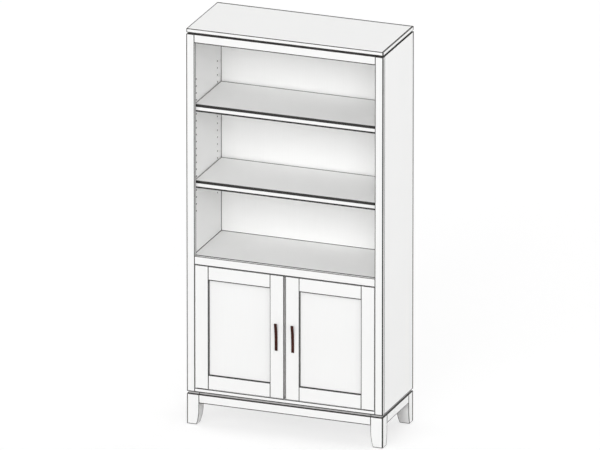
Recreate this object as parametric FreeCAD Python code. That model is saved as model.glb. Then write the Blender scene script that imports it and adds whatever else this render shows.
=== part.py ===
"""Bookcase with two cabinet doors: face-framed case on a separate leg-and-apron base.

Layout coordinates, in millimetres: x from the case's left face, y back from the front plane of the
face frame, z up from the floor. save() moves each piece into the part's own frame, whose origin is on
the floor under the middle of the whole outline.
"""

import FreeCAD, Part
import math
import os

V = FreeCAD.Vector
IN = 25.4                          # the cabinet is laid out in inches, its hardware in millimetres

# ---------------------------------------------------------------- driving dimensions
# overall
WIDTH = 36.0 * IN
DEPTH = 15.0 * IN
HEIGHT = 72.0 * IN

# stock
BOARD = 0.75 * IN                  # top, shelves, rails, stiles, aprons
SIDE = 1.0 * IN                    # side panels
THIN = 0.25 * IN                   # back panel, door panels, spacer under the top
HOUSING = 0.375 * IN               # depth of every housing and groove
TONGUE = 0.5 * IN                  # thickness of the tongue at a fixed board's end

# case
BASE_HEIGHT = 6.0 * IN
REVEAL = 0.25 * IN                 # shadow line under the top and over the base
STILE_WIDTH = 1.5 * IN
RAIL_HEIGHT = 1.5 * IN
FIXED_SHELF_TOP = 30.75 * IN
BACK_FACE = 14.125 * IN            # y of the back panel's front
BACK_PLAY = 0.5                    # each side of the back panel in its grooves
NAILER_HEIGHT = 3.0 * IN
TENON = 0.75 * IN                  # stub tenons of the face frame
TENON_SHOULDER = 5.0

# base
LEG = 2.25 * IN
LEG_FOOT = 1.8 * IN                # the leg's width at the floor
LEG_CURVE_TOP = 3.0 * IN
APRON_BOTTOM = 4.0 * IN
BASE_REBATE_HEIGHT = 0.4 * IN
APRON_TENON = 1.0 * IN
APRON_TENON_SHOULDER = 0.375 * IN
CORNER_BLOCK = 120.0               # reach of a corner block along each apron, from the outer corner
CORNER_BLOCK_BOTTOM = 4.5 * IN
GLIDE_RADIUS = 12.0
GLIDE_HEIGHT = 2.5
GLIDE_STEM_RADIUS = 3.0
GLIDE_STEM = 12.0

# adjustable shelves
SHELF_SIDE_GAP = 1.0
SHELF_BACK_GAP = 2.0
SHELF_FRONT = BOARD + 1.0
CABINET_SHELF_FRONT = 32.0
NOSING_HEIGHT = 1.25 * IN
NOSING_DEPTH = 0.4375 * IN
NOSING_STEP = 0.0625 * IN          # drop before the upper corner's round
NOSING_ROUND = 0.125 * IN

# shelf pins and their holes
HOLE_RADIUS = 0.125 * IN
HOLE_DEPTH = 10.0
HOLE_PITCH = 32.0
HOLE_FRONT = BOARD + 37.0          # y of the front column
HOLE_BACK = 313.5                  # y of the back column
HOLE_TOP = 1580.0                  # z of the highest hole
HOLE_COUNT = 20
CABINET_HOLE_TOP = 492.0
CABINET_HOLE_COUNT = 3
UPPER_PIN_ROW = 4                  # rows counted down from the highest hole
LOWER_PIN_ROW = 15
CABINET_PIN_ROW = 1
PIN_CLEARANCE = 0.05
PIN_SHANK = 9.0
PIN_SEAT = 3.5                     # height of the pad's top above the hole's centre
PIN_PAD = 11.0
PIN_PAD_THICKNESS = 1.5
PIN_PLATE = 1.2
PIN_DROP = 10.0
PIN_WIDTH = 10.0
PIN_RIB = 1.6

# doors
DOOR_EDGE_GAP = 0.0625 * IN        # over and under a door
DOOR_HINGE_GAP = 2.0
DOOR_CENTRE_GAP = 0.375 * IN
DOOR_MEMBER = 2.5 * IN
PANEL_RECESS = 0.375 * IN
PANEL_PLAY = 1.0
STRIP_FRONT = 14.0                 # y of the meeting strip's front
STRIP_LET_IN = 5.0
STRIP_CLEARANCE = 2.0              # from the strip to the right door

# knife hinges
PIVOT_IN = 12.0                    # pin's centre from the door's hinge edge
PIVOT_BACK = 6.0                   # pin's centre behind the door's front
LEAF_LENGTH = 38.0
LEAF_HALF_WIDTH = 4.5
LEAF_THICKNESS = 3.2
LEAF_LET_IN = 3.0
HINGE_PIN_RADIUS = 2.0
HINGE_PIN_PLAY = 0.05
WASHER_RADIUS = 4.0
WASHER_PLAY = 0.1
HINGE_PIN_SHORT = 0.2              # from the pin's end to the far face of the door's leaf

# pulls
PULL_LENGTH = 5.0 * IN
PULL_WIDTH = 13.0
PULL_THICKNESS = 4.5
PULL_RISE = 10.0                   # how far the strip's tip stands off the door
PULL_FLAT = 25.5                   # length of the strip's flat foot
PULL_INSET = 33.8                  # pull's centre line from the door's meeting edge
PULL_SCREW_SPACING = 64.0
PULL_LOWER_SCREW = 11.5            # lower screw above the strip's foot
PULL_POST_RADIUS = 4.5
PULL_EDGE = 1.2                    # chamfer along the strip's outer edges
PULL_SCREW_RADIUS = 2.0
PULL_SCREW_BITE = 2.5
PULL_SCREW_HEAD = 2.0

# catches
STRIKE_THICKNESS = 1.2
STRIKE_LENGTH = 32.0
STRIKE_HEIGHT = 10.0
STRIKE_DROP = 1.5                  # strike plate's top below the door's top
CATCH_AIR = 0.3
CATCH_CENTRE = 418.0               # x of the left catch
CATCH_LENGTH = 44.0
CATCH_DEPTH = 15.0
CATCH_HEIGHT = 12.0
MAGNET_LENGTH = 26.0
MAGNET_HEIGHT = 7.0
MAGNET_OUT = 1.0
MAGNET_IN = 5.0
CATCH_BLOCK_LENGTH = 160.0
CATCH_BLOCK_DEPTH = 40.0

# small round bars and holes that repeat
ROUND_SIDES = 12

# wood screws
SCREW_RADIUS = 2.4
SCREW_HEAD_RADIUS = 4.8
SCREW_HEAD = 2.6
SCREW_BITE = 12.0
TOP_SCREW_INSET = 4.0 * IN         # from the case's sides
TOP_SCREW_EDGE = 3.0 * IN          # from the front and the back
BASE_SCREW_IN = 14.0               # from the apron's inner face
BASE_SCREW_ALONG = 22.0            # from the leg's inner face

# ---------------------------------------------------------------- derived dimensions
CASE_BOTTOM = BASE_HEIGHT
SPACER_TOP = HEIGHT - BOARD
CASE_TOP = SPACER_TOP - THIN
PULL_RUN = PULL_LENGTH - PULL_FLAT
PULL_RADIUS = (PULL_RUN ** 2 + PULL_RISE ** 2) / (2 * PULL_RISE)
PULL_TURN = math.asin(PULL_RUN / PULL_RADIUS)
PULL_OUT = PULL_RISE + PULL_THICKNESS * math.cos(PULL_TURN)
ORIGIN = V(-WIDTH / 2, (PULL_OUT - DEPTH) / 2, 0)

MIDDLE_RAIL = (FIXED_SHELF_TOP - RAIL_HEIGHT, FIXED_SHELF_TOP)
BOTTOM_RAIL = (CASE_BOTTOM, CASE_BOTTOM + BOARD)
TOP_RAIL = (CASE_TOP - RAIL_HEIGHT, CASE_TOP)

DOOR_Z = (BOTTOM_RAIL[1] + DOOR_EDGE_GAP, MIDDLE_RAIL[0] - DOOR_EDGE_GAP)
DOOR_HINGE_EDGE = STILE_WIDTH + DOOR_HINGE_GAP
DOOR_MEETING_EDGE = (WIDTH - DOOR_CENTRE_GAP) / 2
DOOR_INSIDE = (STILE_WIDTH + DOOR_MEMBER, DOOR_MEETING_EDGE - DOOR_MEMBER)
PANEL_Y = (PANEL_RECESS, PANEL_RECESS + THIN)
PIVOT = (DOOR_HINGE_EDGE + PIVOT_IN, PIVOT_BACK)


# ---------------------------------------------------------------- making and saving
def box(x, y, z):
    """A block between three (low, high) pairs."""
    return Part.makeBox(x[1] - x[0], y[1] - y[0], z[1] - z[0], V(x[0], y[0], z[0]))


def prism(points, along):
    """A flat outline of straight edges, pushed along a vector."""
    return Part.Face(Part.makePolygon(points + points[:1])).extrude(along)


def mirrored(shape):
    """The right-hand twin of a left-hand piece."""
    return shape.mirror(V(WIDTH / 2, 0, 0), V(1, 0, 0))


def both_sides(shapes):
    return shapes + [mirrored(shape) for shape in shapes]


def ring(radius, z):
    """Corners of a many-sided ring about the z axis; radius is measured to its flats."""
    corner = radius / math.cos(math.pi / ROUND_SIDES)
    turn = 2 * math.pi / ROUND_SIDES
    return [V(corner * math.cos(i * turn), corner * math.sin(i * turn), z) for i in range(ROUND_SIDES)]


def small_round(radius, length, start, along=V(0, 0, 1)):
    """A small bar, or the cutter of a small hole, kept light because it repeats."""
    bar = prism(ring(radius, 0), V(0, 0, length))
    bar.Placement = FreeCAD.Placement(start, FreeCAD.Rotation(V(0, 0, 1), along))
    return bar


def wood_screw(foot, length):
    """A screw driven upwards, its flat head flush with the face at foot."""
    rings = [ring(SCREW_HEAD_RADIUS, 0), ring(SCREW_RADIUS, SCREW_HEAD)]
    head = Part.makeLoft([Part.makePolygon(points + points[:1]) for points in rings], True, True)
    head.translate(foot)
    shank = small_round(SCREW_RADIUS, length - SCREW_HEAD, foot + V(0, 0, SCREW_HEAD))
    return head.fuse(shank)


def save(name, shapes):
    """Write one sub-part: a single solid, or a group of like solids."""
    shapes = shapes if isinstance(shapes, list) else [shapes]
    solids = [solid for shape in shapes for solid in shape.removeSplitter().Solids]
    whole = solids[0] if len(solids) == 1 else Part.makeCompound(solids)
    whole.translate(ORIGIN)
    whole.exportStep(os.path.join("parts", name + ".step"))


def save_pair(name, shape):
    """Write a left-hand piece and its right-hand twin."""
    save("left_" + name, shape)
    save("right_" + name, mirrored(shape))


# ---------------------------------------------------------------- case
def pin_hole_rows():
    """Heights of the shelf-pin holes: the open bays first, then the cabinet."""
    bays = [HOLE_TOP - row * HOLE_PITCH for row in range(HOLE_COUNT)]
    cabinet = [CABINET_HOLE_TOP - row * HOLE_PITCH for row in range(CABINET_HOLE_COUNT)]
    return bays, cabinet


def side_panel():
    """Side panel, housed for the three fixed boards, grooved for the back and drilled for pins."""
    panel = box((0, SIDE), (BOARD, DEPTH), (CASE_BOTTOM, CASE_TOP))
    cuts = [board_tongue(bottom) for bottom in (CASE_BOTTOM, FIXED_SHELF_TOP - BOARD, CASE_TOP - BOARD)]
    cuts.append(box((SIDE - HOUSING, SIDE), (BACK_FACE, BACK_FACE + THIN), (CASE_BOTTOM, CASE_TOP)))
    bays, cabinet = pin_hole_rows()
    for y in (HOLE_FRONT, HOLE_BACK):
        for z in bays + cabinet:
            bottom = V(SIDE - HOLE_DEPTH, y, z)
            cuts.append(small_round(HOLE_RADIUS, HOLE_DEPTH, bottom, V(1, 0, 0)))
    return panel.cut(cuts)


def board_tongue(bottom):
    """Tongue at the left end of a fixed board, flush with its underside, so the shoulder is on top."""
    return box((SIDE - HOUSING, SIDE), (BOARD, BACK_FACE), (bottom, bottom + TONGUE))


def fixed_board(bottom):
    """A board between the side panels, up to the back panel, its tongues filling their housings."""
    board = box((SIDE, WIDTH - SIDE), (BOARD, BACK_FACE), (bottom, bottom + BOARD))
    return board.fuse(both_sides([board_tongue(bottom)]))


def back_panel():
    """Thin panel, loose in the grooves of the sides, behind all the fixed boards."""
    span = (SIDE - HOUSING + BACK_PLAY, WIDTH - SIDE + HOUSING - BACK_PLAY)
    return box(span, (BACK_FACE, BACK_FACE + THIN), (CASE_BOTTOM, CASE_TOP))


def nailer(z):
    """Cross rail behind the back panel, flush with the back edges of the sides."""
    return box((SIDE, WIDTH - SIDE), (BACK_FACE + THIN, DEPTH), z)


def rail_tenon(z):
    """Stub tenon at the left end of a face-frame rail, in the middle of its thickness."""
    thickness = BOARD / 3
    y = ((BOARD - thickness) / 2, (BOARD + thickness) / 2)
    return box((STILE_WIDTH - TENON, STILE_WIDTH), y, (z[0] + TENON_SHOULDER, z[1] - TENON_SHOULDER))


def frame_stile():
    """Left stile, mortised for the three rails."""
    stile = box((0, STILE_WIDTH), (0, BOARD), (CASE_BOTTOM, CASE_TOP))
    return stile.cut([rail_tenon(z) for z in (BOTTOM_RAIL, MIDDLE_RAIL, TOP_RAIL)])


def frame_rail(z):
    rail = box((STILE_WIDTH, WIDTH - STILE_WIDTH), (0, BOARD), z)
    return rail.fuse(both_sides([rail_tenon(z)]))


def top_spacer():
    """Thin board set in on all sides, which leaves the shadow line under the top."""
    return box((REVEAL, WIDTH - REVEAL), (REVEAL, DEPTH - REVEAL), (CASE_TOP, SPACER_TOP))


def top_screws():
    """Screws up through the case's top panel and the spacer into the top board."""
    columns = (TOP_SCREW_INSET, WIDTH / 2, WIDTH - TOP_SCREW_INSET)
    rows = (TOP_SCREW_EDGE, DEPTH - TOP_SCREW_EDGE)
    length = BOARD + THIN + SCREW_BITE
    return [wood_screw(V(x, y, CASE_TOP - BOARD), length) for x in columns for y in rows]


# ---------------------------------------------------------------- base
def leg_outline(point):
    """Leg's side view: straight on its outer edge, curving in on its inner edge towards the floor.

    point(across, z) gives a vector in the plane that the view is drawn in.
    """
    drop = LEG_CURVE_TOP - GLIDE_HEIGHT
    inset = LEG - LEG_FOOT
    radius = (drop ** 2 + inset ** 2) / (2 * inset)
    half = math.asin(drop / radius) / 2
    middle = point(LEG - radius + radius * math.cos(half), LEG_CURVE_TOP - radius * math.sin(half))
    curve_top = point(LEG, LEG_CURVE_TOP)
    toe = point(LEG_FOOT, GLIDE_HEIGHT)
    heel = point(0, GLIDE_HEIGHT)
    outer_top = point(0, BASE_HEIGHT)
    inner_top = point(LEG, BASE_HEIGHT)
    edges = [
        Part.LineSegment(heel, outer_top).toShape(),
        Part.LineSegment(outer_top, inner_top).toShape(),
        Part.LineSegment(inner_top, curve_top).toShape(),
        Part.Arc(curve_top, middle, toe).toShape(),
        Part.LineSegment(toe, heel).toShape(),
    ]
    return Part.Face(Part.Wire(edges))


def apron_tenons(x_end, y_end):
    """Tenons that enter the front left leg: from the front apron and from the left apron."""
    thickness = BOARD / 2
    deep = ((BOARD - thickness) / 2, (BOARD + thickness) / 2)
    z = (APRON_BOTTOM + APRON_TENON_SHOULDER, BASE_HEIGHT - BASE_REBATE_HEIGHT - APRON_TENON_SHOULDER)
    front = box((LEG - APRON_TENON, x_end), deep, z)
    left = box(deep, (LEG - APRON_TENON, y_end), z)
    return front, left


def mitre_at_corner(front, left):
    """Cut the two tenons back where they would meet inside the leg."""
    deep = (BOARD - BOARD / 2) / 2
    reach = 2 * LEG
    before = prism([V(deep, deep, 0), V(reach, deep, 0), V(reach, reach, 0)], V(0, 0, HEIGHT))
    behind = prism([V(deep, deep, 0), V(reach, reach, 0), V(deep, reach, 0)], V(0, 0, HEIGHT))
    return front.common(before), left.common(behind)


def base_rebates():
    """Blocks that cut the shadow line round the top of the base."""
    z = (BASE_HEIGHT - BASE_REBATE_HEIGHT, BASE_HEIGHT)
    across = (0, WIDTH)
    along = (0, DEPTH)
    return [
        box(across, (0, REVEAL), z),
        box(across, (DEPTH - REVEAL, DEPTH), z),
        box((0, REVEAL), along, z),
        box((WIDTH - REVEAL, WIDTH), along, z),
    ]


def front_left_leg():
    """Square leg with both inner faces curved in below, mortised, rebated and drilled for its glide."""
    across = leg_outline(lambda u, z: V(u, 0, z)).extrude(V(0, LEG, 0))
    along = leg_outline(lambda u, z: V(0, u, z)).extrude(V(LEG, 0, 0))
    tenons = mitre_at_corner(*apron_tenons(LEG, LEG))
    stem = small_round(GLIDE_STEM_RADIUS, GLIDE_STEM, V(LEG_FOOT / 2, LEG_FOOT / 2, GLIDE_HEIGHT))
    return across.common(along).cut(list(tenons) + base_rebates() + [stem])


def to_back(shape):
    """The back twin of a piece of the base's front."""
    return shape.mirror(V(0, DEPTH / 2, 0), V(0, 1, 0))


def front_apron():
    apron = box((LEG, WIDTH - LEG), (0, BOARD), (APRON_BOTTOM, BASE_HEIGHT))
    tenon = mitre_at_corner(*apron_tenons(LEG, LEG))[0]
    return apron.fuse(both_sides([tenon])).cut(base_rebates())


def left_apron():
    apron = box((0, BOARD), (LEG, DEPTH - LEG), (APRON_BOTTOM, BASE_HEIGHT))
    tenon = mitre_at_corner(*apron_tenons(LEG, LEG))[1]
    return apron.fuse([tenon, to_back(tenon)]).cut(base_rebates())


def four_corners(shape):
    """A front left piece repeated at all four corners of the base."""
    front = both_sides([shape])
    return front + [to_back(piece) for piece in front]


def corner_block():
    """Block glued into the angle of two aprons, notched round the leg."""
    outline = [
        V(LEG, BOARD, CORNER_BLOCK_BOTTOM),
        V(CORNER_BLOCK, BOARD, CORNER_BLOCK_BOTTOM),
        V(BOARD, CORNER_BLOCK, CORNER_BLOCK_BOTTOM),
        V(BOARD, LEG, CORNER_BLOCK_BOTTOM),
        V(LEG, LEG, CORNER_BLOCK_BOTTOM),
    ]
    return prism(outline, V(0, 0, BASE_HEIGHT - CORNER_BLOCK_BOTTOM))


def base_screws():
    """Two screws in each corner block, up into the case's bottom panel."""
    near = BOARD + BASE_SCREW_IN
    far = LEG + BASE_SCREW_ALONG
    length = BASE_HEIGHT - CORNER_BLOCK_BOTTOM + SCREW_BITE
    feet = (V(far, near, CORNER_BLOCK_BOTTOM), V(near, far, CORNER_BLOCK_BOTTOM))
    return [screw for foot in feet for screw in four_corners(wood_screw(foot, length))]


def foot_glide():
    centre = V(LEG_FOOT / 2, LEG_FOOT / 2, 0)
    pad = small_round(GLIDE_RADIUS, GLIDE_HEIGHT, centre)
    stem = small_round(GLIDE_STEM_RADIUS, GLIDE_STEM, centre + V(0, 0, GLIDE_HEIGHT))
    return pad.fuse(stem)


# ---------------------------------------------------------------- adjustable shelves
def shelf_bottom(row, rows):
    """Underside of the shelf that rests on the pins in a row of holes."""
    return rows[row] + PIN_SEAT


def shelf_span():
    return (SIDE + SHELF_SIDE_GAP, WIDTH - SIDE - SHELF_SIDE_GAP)


def shelf_board(bottom, front):
    return box(shelf_span(), (front, BACK_FACE - SHELF_BACK_GAP), (bottom, bottom + BOARD))


def nosing(bottom):
    """Deep front edging, level with the shelf: a step and a round above, a round below."""
    left, right = shelf_span()
    top = bottom + BOARD
    step = top - NOSING_STEP
    low = top - NOSING_HEIGHT
    front = SHELF_FRONT
    inner = front + NOSING_ROUND
    back = front + NOSING_DEPTH
    tuck = NOSING_ROUND * (1 - math.sqrt(0.5))

    def at(y, z):
        return V(left, y, z)

    edges = [
        Part.LineSegment(at(front, low + NOSING_ROUND), at(front, step - NOSING_ROUND)).toShape(),
        Part.Arc(at(front, step - NOSING_ROUND), at(front + tuck, step - tuck), at(inner, step)).toShape(),
        Part.LineSegment(at(inner, step), at(inner, top)).toShape(),
        Part.LineSegment(at(inner, top), at(back, top)).toShape(),
        Part.LineSegment(at(back, top), at(back, low)).toShape(),
        Part.LineSegment(at(back, low), at(inner, low)).toShape(),
        Part.Arc(at(inner, low), at(front + tuck, low + tuck), at(front, low + NOSING_ROUND)).toShape(),
    ]
    return Part.Face(Part.Wire(edges)).extrude(V(right - left, 0, 0))


def shelf_pin(y, z):
    """Bracket pin in the left panel: a shank in the hole, a plate on the panel and a ribbed pad."""
    shank = small_round(HOLE_RADIUS - PIN_CLEARANCE, PIN_SHANK, V(SIDE - PIN_SHANK, y, z), V(1, 0, 0))
    width = (y - PIN_WIDTH / 2, y + PIN_WIDTH / 2)
    seat = z + PIN_SEAT
    plate = box((SIDE, SIDE + PIN_PLATE), width, (z - PIN_DROP, seat))
    pad = box((SIDE, SIDE + PIN_PAD), width, (seat - PIN_PAD_THICKNESS, seat))
    under_pad = seat - PIN_PAD_THICKNESS
    rib = prism([
        V(SIDE + PIN_PLATE, y - PIN_RIB / 2, z - PIN_DROP),
        V(SIDE + PIN_PAD, y - PIN_RIB / 2, under_pad),
        V(SIDE + PIN_PLATE, y - PIN_RIB / 2, under_pad),
    ], V(0, PIN_RIB, 0))
    return plate.fuse([pad, rib, shank])


def pins_of(z):
    return both_sides([shelf_pin(y, z) for y in (HOLE_FRONT, HOLE_BACK)])


# ---------------------------------------------------------------- knife hinges
def leaf_outline():
    """Plan of a leaf about the pivot: round at the pin, square at the far end."""
    x, y = PIVOT
    radius = LEAF_HALF_WIDTH
    near = V(x, y - radius, 0)
    tip = V(x - radius, y, 0)
    far = V(x, y + radius, 0)
    end = x + LEAF_LENGTH
    edges = [
        Part.Arc(near, tip, far).toShape(),
        Part.LineSegment(far, V(end, y + radius, 0)).toShape(),
        Part.LineSegment(V(end, y + radius, 0), V(end, y - radius, 0)).toShape(),
        Part.LineSegment(V(end, y - radius, 0), near).toShape(),
    ]
    return Part.Face(Part.Wire(edges))


def slab(outline, z):
    """A flat outline given thickness between two heights."""
    piece = outline.extrude(V(0, 0, z[1] - z[0]))
    piece.translate(V(0, 0, z[0]))
    return piece


def disc(radius, z):
    return Part.makeCylinder(radius, z[1] - z[0], V(PIVOT[0], PIVOT[1], z[0]))


def ordered(a, b):
    return (min(a, b), max(a, b))


def hinge(case_face, door_face):
    """Left-hand leaves between a face of the case and the door edge that faces it.

    up is +1 where the case is over the door and -1 where it is under it.
    """
    up = math.copysign(1.0, case_face - door_face)
    proud = LEAF_THICKNESS - LEAF_LET_IN
    case_low = case_face - up * proud
    door_high = door_face + up * proud
    washer_end = door_high + up * WASHER_PLAY
    pin_end = door_face - up * (LEAF_LET_IN - HINGE_PIN_SHORT)
    washer_z = ordered(washer_end, case_low)
    washer = small_round(WASHER_RADIUS, washer_z[1] - washer_z[0], V(PIVOT[0], PIVOT[1], washer_z[0]))
    pin = disc(HINGE_PIN_RADIUS, ordered(pin_end, case_low))
    case_leaf = slab(leaf_outline(), ordered(case_low, case_face + up * LEAF_LET_IN)).fuse([washer, pin])
    door_leaf = slab(leaf_outline(), ordered(door_face - up * LEAF_LET_IN, door_high))
    door_leaf = door_leaf.cut(disc(HINGE_PIN_RADIUS + HINGE_PIN_PLAY, ordered(
        door_face - up * LEAF_THICKNESS, door_face + up * LEAF_THICKNESS)))
    return case_leaf, door_leaf


def leaf_pocket(face, into):
    """Recess for a leaf, cut into the wood behind a face; into is +1 or -1 along z."""
    return slab(leaf_outline(), ordered(face, face + into * LEAF_LET_IN))


TOP_HINGE = hinge(MIDDLE_RAIL[0], DOOR_Z[1])
BOTTOM_HINGE = hinge(BOTTOM_RAIL[1], DOOR_Z[0])


# ---------------------------------------------------------------- doors
def door_stile(x, groove_x):
    """Upright of a door frame, grooved along its inner edge for the panel and the rail tongues."""
    return box(x, (0, BOARD), DOOR_Z).cut(box(groove_x, PANEL_Y, DOOR_Z))


def hinge_stile():
    x = (DOOR_HINGE_EDGE, DOOR_INSIDE[0])
    stile = door_stile(x, (x[1] - HOUSING, x[1]))
    return stile.cut([leaf_pocket(DOOR_Z[1], -1), leaf_pocket(DOOR_Z[0], 1)])


def meeting_stile(rebated):
    x = (DOOR_INSIDE[1], DOOR_MEETING_EDGE)
    stile = door_stile(x, (x[0], x[0] + HOUSING))
    if rebated:
        stile = stile.cut(box((x[1] - STRIP_LET_IN, x[1]), (STRIP_FRONT, BOARD), DOOR_Z))
    return stile


def door_rail(z, groove_z):
    """Cross piece of a door frame, tongued into both stiles and grooved for the panel."""
    rail = box(DOOR_INSIDE, (0, BOARD), z)
    rail = rail.cut(box(DOOR_INSIDE, PANEL_Y, groove_z))
    tongue_z = (z[0], groove_z[0]) if groove_z[0] > z[0] else (groove_z[1], z[1])
    tongues = [
        box((DOOR_INSIDE[0] - HOUSING, DOOR_INSIDE[0]), PANEL_Y, tongue_z),
        box((DOOR_INSIDE[1], DOOR_INSIDE[1] + HOUSING), PANEL_Y, tongue_z),
    ]
    return rail.fuse(tongues)


def door_top_rail():
    z = (DOOR_Z[1] - DOOR_MEMBER, DOOR_Z[1])
    return door_rail(z, (z[0], z[0] + HOUSING))


def door_bottom_rail():
    z = (DOOR_Z[0], DOOR_Z[0] + DOOR_MEMBER)
    return door_rail(z, (z[1] - HOUSING, z[1]))


def door_panel():
    """Flat panel, loose in its grooves."""
    reach = HOUSING - PANEL_PLAY
    x = (DOOR_INSIDE[0] - reach, DOOR_INSIDE[1] + reach)
    z = (DOOR_Z[0] + DOOR_MEMBER - reach, DOOR_Z[1] - DOOR_MEMBER + reach)
    return box(x, PANEL_Y, z)


def meeting_strip():
    """Strip let into the back of the left door's meeting edge, which closes the centre gap."""
    right_door_edge = WIDTH - DOOR_MEETING_EDGE
    x = (DOOR_MEETING_EDGE - STRIP_LET_IN, right_door_edge - STRIP_CLEARANCE)
    return box(x, (STRIP_FRONT, BOARD), DOOR_Z)


# ---------------------------------------------------------------- pulls
PULL_X = DOOR_MEETING_EDGE - PULL_INSET
PULL_FOOT = (DOOR_Z[0] + DOOR_Z[1] - PULL_LENGTH) / 2


def pull_curve(offset):
    """Side view of one face of the strip: flat at the foot, then an arc out to the tip."""
    centre = V(PULL_X, -PULL_RADIUS, PULL_FOOT + PULL_FLAT)
    reach = PULL_RADIUS - offset

    def at(angle):
        return centre + V(0, reach * math.cos(angle), reach * math.sin(angle))

    return V(PULL_X, -offset, PULL_FOOT), at(0), at(PULL_TURN / 2), at(PULL_TURN)


def pull():
    """Slim metal pull: a strip that leaves the door in a long curve, with a post half way up."""
    foot_in, start_in, middle_in, tip_in = pull_curve(0)
    foot_out, start_out, middle_out, tip_out = pull_curve(PULL_THICKNESS)
    edges = [
        Part.LineSegment(foot_in, start_in).toShape(),
        Part.Arc(start_in, middle_in, tip_in).toShape(),
        Part.LineSegment(tip_in, tip_out).toShape(),
        Part.Arc(tip_out, middle_out, start_out).toShape(),
        Part.LineSegment(start_out, foot_out).toShape(),
        Part.LineSegment(foot_out, foot_in).toShape(),
    ]
    strip = Part.Face(Part.Wire(edges)).extrude(V(PULL_WIDTH, 0, 0))
    strip.translate(V(-PULL_WIDTH / 2, 0, 0))
    outer = [
        edge for edge in strip.Edges
        if edge.BoundBox.XLength < 1e-6 and edge.BoundBox.YMin < -PULL_THICKNESS + 1e-3
        and edge.BoundBox.ZLength > PULL_THICKNESS
    ]
    strip = strip.makeChamfer(PULL_EDGE, outer)
    post_z = PULL_FOOT + PULL_LOWER_SCREW + PULL_SCREW_SPACING
    post = Part.makeCylinder(PULL_POST_RADIUS, PULL_RISE, V(PULL_X, -PULL_RISE, post_z), V(0, 1, 0))
    return strip.fuse(post.cut(behind_strip()))


def behind_strip():
    """The space in front of the strip's back face, which trims the post to the curve."""
    foot_in, start_in, middle_in, tip_in = pull_curve(0)
    far_tip = V(PULL_X, -2 * PULL_OUT, tip_in.z)
    far_foot = V(PULL_X, -2 * PULL_OUT, foot_in.z)
    edges = [
        Part.LineSegment(foot_in, start_in).toShape(),
        Part.Arc(start_in, middle_in, tip_in).toShape(),
        Part.LineSegment(tip_in, far_tip).toShape(),
        Part.LineSegment(far_tip, far_foot).toShape(),
        Part.LineSegment(far_foot, foot_in).toShape(),
    ]
    block = Part.Face(Part.Wire(edges)).extrude(V(2 * PULL_WIDTH, 0, 0))
    block.translate(V(-PULL_WIDTH, 0, 0))
    return block


def pull_screws():
    """Machine screws from the back of the meeting stile into the pull's foot and post."""
    screws = []
    for height in (PULL_LOWER_SCREW, PULL_LOWER_SCREW + PULL_SCREW_SPACING):
        back = V(PULL_X, BOARD, PULL_FOOT + height)
        shank = small_round(PULL_SCREW_RADIUS, BOARD + PULL_SCREW_BITE, back, V(0, -1, 0))
        head = small_round(2 * PULL_SCREW_RADIUS, PULL_SCREW_HEAD, back, V(0, 1, 0))
        screws.append(shank.fuse(head))
    return screws


# ---------------------------------------------------------------- catches
def strike_plate():
    x = (CATCH_CENTRE - STRIKE_LENGTH / 2, CATCH_CENTRE + STRIKE_LENGTH / 2)
    top = DOOR_Z[1] - STRIKE_DROP
    return box(x, (BOARD, BOARD + STRIKE_THICKNESS), (top - STRIKE_HEIGHT, top))


def magnet():
    front = BOARD + STRIKE_THICKNESS + CATCH_AIR
    x = (CATCH_CENTRE - MAGNET_LENGTH / 2, CATCH_CENTRE + MAGNET_LENGTH / 2)
    middle = DOOR_Z[1] - STRIKE_DROP - STRIKE_HEIGHT / 2
    z = (middle - MAGNET_HEIGHT / 2, middle + MAGNET_HEIGHT / 2)
    return box(x, (front, front + MAGNET_OUT + MAGNET_IN), z)


def catch():
    """Catch housing under its block, its rear corners cut off, with the magnet's pocket in front."""
    front = BOARD + STRIKE_THICKNESS + CATCH_AIR + MAGNET_OUT
    low = MIDDLE_RAIL[0] - CATCH_HEIGHT
    half = CATCH_LENGTH / 2
    cut = CATCH_DEPTH / 2
    outline = [
        V(CATCH_CENTRE - half, front, low),
        V(CATCH_CENTRE + half, front, low),
        V(CATCH_CENTRE + half, front + cut, low),
        V(CATCH_CENTRE + half - cut, front + CATCH_DEPTH, low),
        V(CATCH_CENTRE - half + cut, front + CATCH_DEPTH, low),
        V(CATCH_CENTRE - half, front + cut, low),
    ]
    return prism(outline, V(0, 0, CATCH_HEIGHT)).cut(magnet())


def catch_block():
    """Block under the fixed shelf, behind the middle rail, that carries both catches."""
    half = CATCH_BLOCK_LENGTH / 2
    x = (WIDTH / 2 - half, WIDTH / 2 + half)
    return box(x, (BOARD, BOARD + CATCH_BLOCK_DEPTH), (MIDDLE_RAIL[0], FIXED_SHELF_TOP - BOARD))


# ---------------------------------------------------------------- writing the sub-parts
def save_case():
    save("top_board", box((0, WIDTH), (0, DEPTH), (SPACER_TOP, HEIGHT)))
    save("top_spacer", top_spacer())
    save("case_top_panel", fixed_board(CASE_TOP - BOARD))
    save("fixed_shelf", fixed_board(FIXED_SHELF_TOP - BOARD))
    save("bottom_panel", fixed_board(CASE_BOTTOM))
    save_pair("side_panel", side_panel())
    save_pair("stile", frame_stile())
    save("top_rail", frame_rail(TOP_RAIL))
    top_pocket = leaf_pocket(MIDDLE_RAIL[0], 1)
    save("middle_rail", frame_rail(MIDDLE_RAIL).cut(both_sides([top_pocket])))
    bottom_pocket = leaf_pocket(BOTTOM_RAIL[1], -1)
    save("bottom_rail", frame_rail(BOTTOM_RAIL).cut(both_sides([bottom_pocket])))
    save("back_panel", back_panel())
    save("top_nailer", nailer((CASE_TOP - NAILER_HEIGHT, CASE_TOP)))
    save("bottom_nailer", nailer((CASE_BOTTOM, CASE_BOTTOM + NAILER_HEIGHT)))
    save("top_screws", top_screws())


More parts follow.
